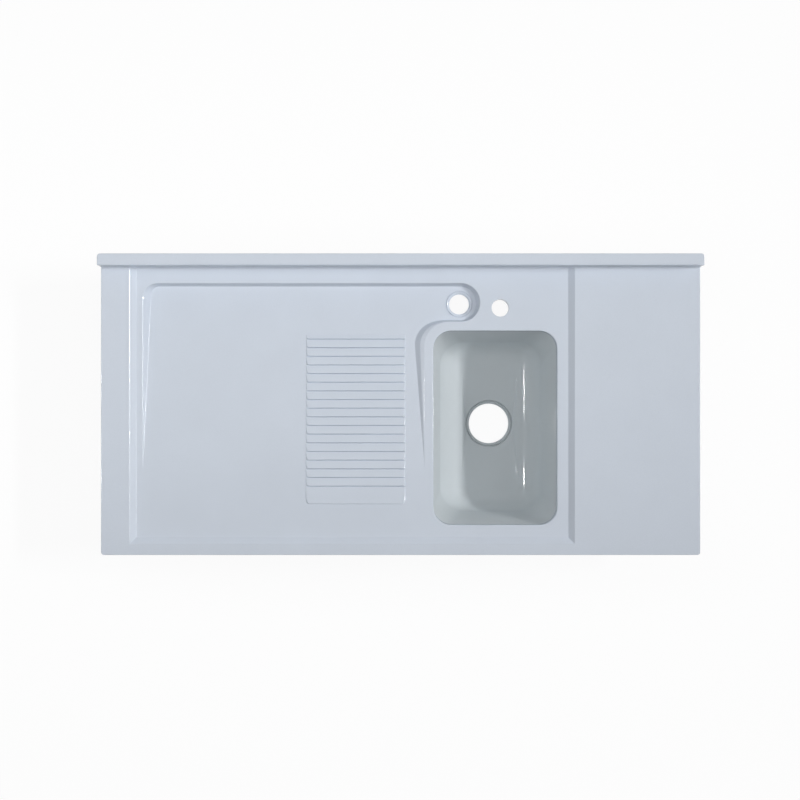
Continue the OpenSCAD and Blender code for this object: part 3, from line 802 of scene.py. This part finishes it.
def gelcoated_stone(name, colour, roughness, gloss_roughness, coat_weight, cloud_share):
    """Cast stone: marble dust in resin behind a sprayed gelcoat, moulded face down and polished.

    The eye sees one even pale colour with hardly visible clouds, a soft gloss, and the slight waviness of
    the mould. The coat carries the gloss, so the stone under it has no specular of its own.
    """
    material, tree, output = blank(name)
    place = add(tree, "ShaderNodeTexCoord").outputs["Object"]
    # Clouds of about 90 mm across
    clouds = add(tree, "ShaderNodeTexNoise", {"Vector": place, "Scale": 11, "Detail": 3, "Roughness": 0.5})
    # Pigment specks of about 1.5 mm, coarser than the real dust so that they show
    specks = add(tree, "ShaderNodeTexNoise", {"Vector": place, "Scale": 650, "Detail": 1})
    blend = add(tree, "ShaderNodeMath", {0: clouds.outputs["Fac"], 1: specks.outputs["Fac"]}, operation="ADD")
    tint = add(tree, "ShaderNodeMapRange", {"Value": blend.outputs["Value"], "From Min": 0.6, "From Max": 1.4,
                                            "To Min": 1 - cloud_share, "To Max": 1 + cloud_share})
    base = add(tree, "ShaderNodeVectorMath", {0: colour[:3], 3: tint.outputs["Result"]}, operation="SCALE")
    # Waviness of about 12 mm from the mould and the polishing
    waves = add(tree, "ShaderNodeTexNoise", {"Vector": place, "Scale": 80, "Detail": 2})
    sheen = add(tree, "ShaderNodeMapRange", {"Value": waves.outputs["Fac"], "From Min": 0.3, "From Max": 0.7,
                                             "To Min": roughness - 0.03, "To Max": roughness + 0.03})
    bump = add(tree, "ShaderNodeBump", {"Height": waves.outputs["Fac"], "Strength": 0.04, "Distance": 0.001})
    shader = add(tree, "ShaderNodeBsdfPrincipled", {
        "Base Color": base.outputs["Vector"], "Roughness": sheen.outputs["Result"],
        "Normal": bump.outputs["Normal"], "Specular IOR Level": 0.0, "Coat Weight": coat_weight,
        "Coat Roughness": gloss_roughness, "Coat IOR": 1.5})
    tree.links.new(shader.outputs["BSDF"], output.inputs["Surface"])
    return material


def joint_adhesive(colour):
    """Methacrylate joint adhesive: squeezed out, cured and left matt, with small ripples along the bead."""
    material, tree, output = blank("methacrylate_adhesive")
    place = add(tree, "ShaderNodeTexCoord").outputs["Object"]
    ripples = add(tree, "ShaderNodeTexNoise", {"Vector": place, "Scale": 300, "Detail": 3})
    tint = add(tree, "ShaderNodeMapRange", {"Value": ripples.outputs["Fac"], "To Min": 0.92, "To Max": 1.08})
    base = add(tree, "ShaderNodeVectorMath", {0: colour[:3], 3: tint.outputs["Result"]}, operation="SCALE")
    bump = add(tree, "ShaderNodeBump", {"Height": ripples.outputs["Fac"], "Strength": 0.3,
                                        "Distance": 0.0006})
    shader = add(tree, "ShaderNodeBsdfPrincipled", {"Base Color": base.outputs["Vector"], "Roughness": 0.6,
                                                    "Normal": bump.outputs["Normal"], "IOR": 1.48})
    tree.links.new(shader.outputs["BSDF"], output.inputs["Surface"])
    return material


def birch_plywood(name, face, late, along):
    """Birch plywood: rotary-cut veneers glued crosswise, sawn and left bare.

    The faces show long faint grain, and the sawn edges show the plies as light and dark lines.
    """
    material, tree, output = blank(name)
    place = add(tree, "ShaderNodeTexCoord").outputs["Object"]
    # Grain lines about 2 mm apart, thirty times as long as they are wide
    stretch = (14, 420, 420) if along == "x" else (420, 14, 420)
    scaled = add(tree, "ShaderNodeVectorMath", {0: place, 1: stretch}, operation="MULTIPLY")
    grain = add(tree, "ShaderNodeTexNoise", {"Vector": scaled.outputs["Vector"], "Scale": 1, "Detail": 4,
                                             "Roughness": 0.6, "Distortion": 0.6})
    # Plies of 1.45 mm, eleven in the thickness
    height = add(tree, "ShaderNodeSeparateXYZ", {"Vector": place}).outputs["Z"]
    ply = add(tree, "ShaderNodeMath", {0: height, 1: math.pi / 0.00145}, operation="MULTIPLY")
    wave = add(tree, "ShaderNodeMath", {0: ply.outputs["Value"]}, operation="SINE")
    plies = add(tree, "ShaderNodeMapRange", {"Value": wave.outputs["Value"], "From Min": -0.25,
                                             "From Max": 0.25})
    normal = add(tree, "ShaderNodeNewGeometry").outputs["Normal"]
    up = add(tree, "ShaderNodeSeparateXYZ", {"Vector": normal}).outputs["Z"]
    level = add(tree, "ShaderNodeMath", {0: up}, operation="ABSOLUTE")
    pick = add(tree, "ShaderNodeMix", {"Factor": level.outputs["Value"], "A": plies.outputs["Result"],
                                       "B": grain.outputs["Fac"]}, data_type="FLOAT")
    share = add(tree, "ShaderNodeMapRange", {"Value": pick.outputs["Result"], "From Min": 0.2,
                                             "From Max": 0.8})
    base = add(tree, "ShaderNodeMix", {"Factor": share.outputs["Result"]}, data_type="RGBA")
    base.inputs["A"].default_value = face
    base.inputs["B"].default_value = late
    bump = add(tree, "ShaderNodeBump", {"Height": grain.outputs["Fac"], "Strength": 0.25, "Distance": 0.0004})
    shader = add(tree, "ShaderNodeBsdfPrincipled", {"Base Color": base.outputs["Result"], "Roughness": 0.62,
                                                    "Normal": bump.outputs["Normal"], "IOR": 1.45})
    tree.links.new(shader.outputs["BSDF"], output.inputs["Surface"])
    return material


def worked_metal(name, colour, roughness, stretch):
    """Bare metal with the fine marks of its making, which run where the stretch is smallest."""
    material, tree, output = blank(name)
    place = add(tree, "ShaderNodeTexCoord").outputs["Object"]
    scaled = add(tree, "ShaderNodeVectorMath", {0: place, 1: stretch}, operation="MULTIPLY")
    marks = add(tree, "ShaderNodeTexNoise", {"Vector": scaled.outputs["Vector"], "Scale": 1, "Detail": 3})
    gloss = add(tree, "ShaderNodeMapRange", {"Value": marks.outputs["Fac"], "From Min": 0.3, "From Max": 0.7,
                                             "To Min": roughness - 0.07, "To Max": roughness + 0.07})
    tint = add(tree, "ShaderNodeMapRange", {"Value": marks.outputs["Fac"], "To Min": 0.93, "To Max": 1.05})
    base = add(tree, "ShaderNodeVectorMath", {0: colour[:3], 3: tint.outputs["Result"]}, operation="SCALE")
    bump = add(tree, "ShaderNodeBump", {"Height": marks.outputs["Fac"], "Strength": 0.15, "Distance": 0.0001})
    shader = add(tree, "ShaderNodeBsdfPrincipled", {
        "Base Color": base.outputs["Vector"], "Metallic": 1.0, "Roughness": gloss.outputs["Result"],
        "Normal": bump.outputs["Normal"]})
    tree.links.new(shader.outputs["BSDF"], output.inputs["Surface"])
    return material


def seen_directly(tree):
    """1 for rays from the camera, off a gloss and through glass, and 0 for rays that gather light."""
    path = add(tree, "ShaderNodeLightPath").outputs
    seen = path["Is Camera Ray"]
    for kind in ("Is Glossy Ray", "Is Transmission Ray"):
        seen = add(tree, "ShaderNodeMath", {0: seen, 1: path[kind]}, operation="MAXIMUM").outputs["Value"]
    return seen


def studio_paper(colour):
    """Matt paper, seen as white with only a share of its shade and of the shadow on it.

    Light that falls on it goes on as from plain paper.
    """
    material, tree, output = blank("studio_paper")
    paper = add(tree, "ShaderNodeBsdfDiffuse", {"Color": colour})
    white = add(tree, "ShaderNodeEmission", {"Color": (1, 1, 1, 1), "Strength": 1.02})
    share = add(tree, "ShaderNodeMath", {0: seen_directly(tree), 1: 1 - SHADOW_SHARE}, operation="MULTIPLY")
    mix = add(tree, "ShaderNodeMixShader", {0: share.outputs["Value"], 1: paper.outputs["BSDF"],
                                            2: white.outputs["Emission"]})
    tree.links.new(mix.outputs["Shader"], output.inputs["Surface"])
    return material


def length(name, description, default):
    """A length property whose default is given in millimetres."""
    return bpy.props.FloatProperty(name=name, description=description, default=default * MM,
                                   min=0.2 * MM, max=20 * MM, precision=4, unit="LENGTH")


def colour(name, description, default):
    """A colour property whose default is given as an sRGB hex colour."""
    return bpy.props.FloatVectorProperty(name=name, description=description, default=linear(default), size=4,
                                         min=0, max=1, subtype="COLOR")


class WorktopRounds(bpy.types.PropertyGroup):
    """Roundings of the worktop's edges."""

    outer_edge: length("Outer edge", "Round along the worktop's top edges", 2.5)
    upstand_edge: length("Upstand", "Round along the upstand's top edges", 3)
    bevel_brow: length("Bevel's brow", "Round where the tray's bevels leave the rim", 1.1)
    bevel_foot: length("Bevel's foot", "Round where the bevels reach the tray", 1.2)
    drain_brow: length("Drainboard's brow", "Round along the top of the drainboard's wall", 1.3)
    drain_shoulder: length("Drainboard's shoulder", "Round along the shoulder beside the bowl", 0.8)
    drain_foot: length("Drainboard's foot", "Round along the foot of the drainboard's wall", 1.5)
    mouth_edge: length("Bowl's mouth", "Round along the opening over the bowl", 3)
    hole_edge: length("Tap hole", "Round along the edge of the tap hole", 1)


class WorktopColours(bpy.types.PropertyGroup):
    """Colours of the worktop's materials."""

    stone: colour("Stone", "Gelcoat of the deck and the upstand", "#D3DBE6")
    bowl: colour("Bowl", "Gelcoat of the bowl", "#D2D8DB")
    adhesive: colour("Adhesive", "Bead between the bowl and the deck", "#DDD9CC")
    ply_face: colour("Plywood", "Veneer of the rail and the battens", "#C9A877")
    ply_late: colour("Plywood's dark plies", "End grain and glue lines of the plywood", "#8E6B42")
    steel: colour("Steel", "Clips, studs, washers and nuts", "#C9CBCD")
    brass: colour("Brass", "Threaded inserts", "#C8A24E")
    paper: colour("Paper", "Floor of the stage", "#F2F3F4")


def rounds():
    """The roundings that the user has set."""
    return bpy.context.scene.worktop_rounds


def colours():
    """The colours that the user has set."""
    return bpy.context.scene.worktop_colours


def deck_stone():
    """The deck's material, made once."""
    name = "gelcoated_cast_stone"
    return bpy.data.materials.get(name) or gelcoated_stone(
        name, colours().stone, roughness=0.38, gloss_roughness=0.1, coat_weight=0.7, cloud_share=0.025)


def cover(name, material):
    """Gives a CAD node that stays in view its finish."""
    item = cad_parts[name]
    item.data.materials.clear()
    item.data.materials.append(material)


class WORKTOP_OT_deck(bpy.types.Operator):
    """Build the cast deck, its upstand and the cove between them"""

    bl_idname = "worktop.deck"
    bl_label = "Deck and Upstand"

    def execute(self, context):
        stone_deck(rounds(), deck_stone())
        stone_upstand(rounds(), deck_stone())
        stone_cove(rounds(), deck_stone())
        return {"FINISHED"}


class WORKTOP_OT_bowl(bpy.types.Operator):
    """Build the cast bowl and finish the bead that bonds it"""

    bl_idname = "worktop.bowl"
    bl_label = "Bowl"

    def execute(self, context):
        stone_bowl(gelcoated_stone("gelcoated_bowl_stone", colours().bowl, roughness=0.3,
                                   gloss_roughness=0.05, coat_weight=0.4, cloud_share=0.012))
        cover("bowl_adhesive", joint_adhesive(colours().adhesive))
        return {"FINISHED"}


class WORKTOP_OT_frame(bpy.types.Operator):
    """Finish the stone aprons and the plywood frame under the deck"""

    bl_idname = "worktop.frame"
    bl_label = "Aprons and Battens"

    def execute(self, context):
        for name in ("front_apron", "left_apron", "right_apron"):
            cover(name, deck_stone())
        chosen = colours()
        cover("rear_rail", birch_plywood("birch_plywood_rail", chosen.ply_face, chosen.ply_late, "x"))
        batten = birch_plywood("birch_plywood_batten", chosen.ply_face, chosen.ply_late, "y")
        for name in ("left_batten", "washboard_batten", "middle_batten", "bowl_batten"):
            cover(name, batten)
        return {"FINISHED"}


class WORKTOP_OT_fixings(bpy.types.Operator):
    """Build the studs and nuts, and finish the clips, washers and inserts that hold the bowl"""

    bl_idname = "worktop.fixings"
    bl_label = "Bowl Fixings"

    def execute(self, context):
        # Cold-rolled strip, sheared and bent: marks along its length, about 0.5 mm apart
        strip = worked_metal("rolled_stainless_strip", colours().steel, 0.34, (90, 2000, 2000))
        # Turned and rolled bar: rings round its axis
        bar = worked_metal("turned_stainless_bar", colours().steel, 0.28, (300, 300, 3000))
        brass = worked_metal("turned_brass_bar", colours().brass, 0.3, (300, 300, 3000))
        threaded_studs(bar)
        hex_nuts(bar)
        cover("bowl_clips", strip)
        cover("clip_washers", strip)
        cover("clip_inserts", brass)
        return {"FINISHED"}


def softbox(name, watts, place, aim, size, hidden_from):
    """A rectangular softbox that shines at its aim; one kind of ray doesn't see it."""
    data = bpy.data.lights.new(name, "AREA")
    data.energy = watts
    data.shape = "RECTANGLE"
    data.size, data.size_y = size
    item = placed(name, data)
    item.location = place
    item.rotation_euler = (Vector(aim) - Vector(place)).to_track_quat("-Z", "Y").to_euler()
    setattr(item, hidden_from, False)


def white_world():
    """A world that is seen as white and lights the object with a share of that."""
    world = bpy.data.worlds.new("studio")
    world.use_nodes = True
    tree = world.node_tree
    tree.nodes.clear()
    strength = add(tree, "ShaderNodeMapRange", {"Value": seen_directly(tree), "To Min": SKY_LIGHT,
                                                "To Max": 1.0})
    sky = add(tree, "ShaderNodeBackground", {"Color": (1, 1, 1, 1), "Strength": strength.outputs["Result"]})
    output = add(tree, "ShaderNodeOutputWorld")
    tree.links.new(sky.outputs["Background"], output.inputs["Surface"])
    return world


class WORKTOP_OT_stage(bpy.types.Operator):
    """Set up the floor, the lamps, the world and the camera"""

    bl_idname = "worktop.stage"
    bl_label = "Stage"

    def execute(self, context):
        scene = context.scene
        scene.view_settings.view_transform = "Standard"
        scene.world = white_world()

        half, low = FLOOR_HALF, CAD_BOUNDS[0][2] - MM
        mesh = bpy.data.meshes.new("floor")
        corners = [(-half, -half, low), (half, -half, low), (half, half, low), (-half, half, low)]
        mesh.from_pydata(corners, [], [(0, 1, 2, 3)])
        mesh.materials.append(studio_paper(colours().paper))
        floor = placed("floor", mesh)

        # Softboxes that light the object and aren't mirrored in it. The key stands far to the right, a
        # little behind and 45 degrees up. It is narrow and lies along the depth, so edges along the depth
        # throw crisp shadows and edges along the length throw soft ones
        middle = (0, 0, 0)
        key_place = Vector((0.985, 0.12, 1.0)).normalized() * FAR
        softbox("key", 1180, key_place, middle, (4.0, 0.8), "visible_glossy")
        # A long one over the back lights it more than the front, and one beside the left edge fills it
        softbox("overhead", 4.8, (-0.3, 0.16, 0.9), (-0.3, 0.26, 0), (2.4, 0.4), "visible_glossy")
        softbox("left_box", 2.6, (-1.8, 0, 1.2), middle, (1.5, 0.8), "visible_glossy")

        # Strips that only show as thin bright lines on the roundings. The long one lies so low that the
        # bowl's edge hides it from the fillet on the left
        glint_place = Vector((1.257, -0.004, 1.0)).normalized() * FAR
        softbox("glint_right", 3200, glint_place, middle, (3.7, 1.6), "visible_diffuse")
        # The short ones, high on the left, are for the fillet on the right
        for name, watts, y, size in (("glint_back", 12, 0.02, 0.17), ("glint_front", 14, -0.351, 0.14)):
            softbox(name, watts, (-1.95, y, 3.5), (0.26, y, -0.15), (size, 0.26), "visible_diffuse")

        data = bpy.data.cameras.new("camera")
        data.lens = LENS
        data.sensor_width = 36
        camera = placed("camera", data)
        camera.location = CAMERA_PLACE
        scene.camera = camera
        return {"FINISHED"}


class WORKTOP_PT_panel(bpy.types.Panel):
    """Roundings, colours and steps of the worktop"""

    bl_label = "Worktop"
    bl_idname = "WORKTOP_PT_panel"
    bl_space_type = "VIEW_3D"
    bl_region_type = "UI"
    bl_category = "Worktop"

    def draw(self, context):
        layout = self.layout
        for group in (context.scene.worktop_rounds, context.scene.worktop_colours):
            for name in group.__annotations__:
                layout.prop(group, name)
        for operator in OPERATORS:
            layout.operator(operator.bl_idname)


OPERATORS = (WORKTOP_OT_deck, WORKTOP_OT_bowl, WORKTOP_OT_frame, WORKTOP_OT_fixings, WORKTOP_OT_stage)
CLASSES = (WorktopRounds, WorktopColours) + OPERATORS + (WORKTOP_PT_panel,)


def register():
    """Registers the classes and the scene's two groups of settings."""
    for item in CLASSES:
        bpy.utils.register_class(item)
    bpy.types.Scene.worktop_rounds = bpy.props.PointerProperty(type=WorktopRounds)
    bpy.types.Scene.worktop_colours = bpy.props.PointerProperty(type=WorktopColours)


def unregister():
    """Takes the settings and the classes away again."""
    del bpy.types.Scene.worktop_colours
    del bpy.types.Scene.worktop_rounds
    for item in reversed(CLASSES):
        bpy.utils.unregister_class(item)


def main():
    """Runs every step in order."""
    register()
    bpy.ops.worktop.deck()
    bpy.ops.worktop.bowl()
    bpy.ops.worktop.frame()
    bpy.ops.worktop.fixings()
    bpy.ops.worktop.stage()


if __name__ == "__main__":
    main()
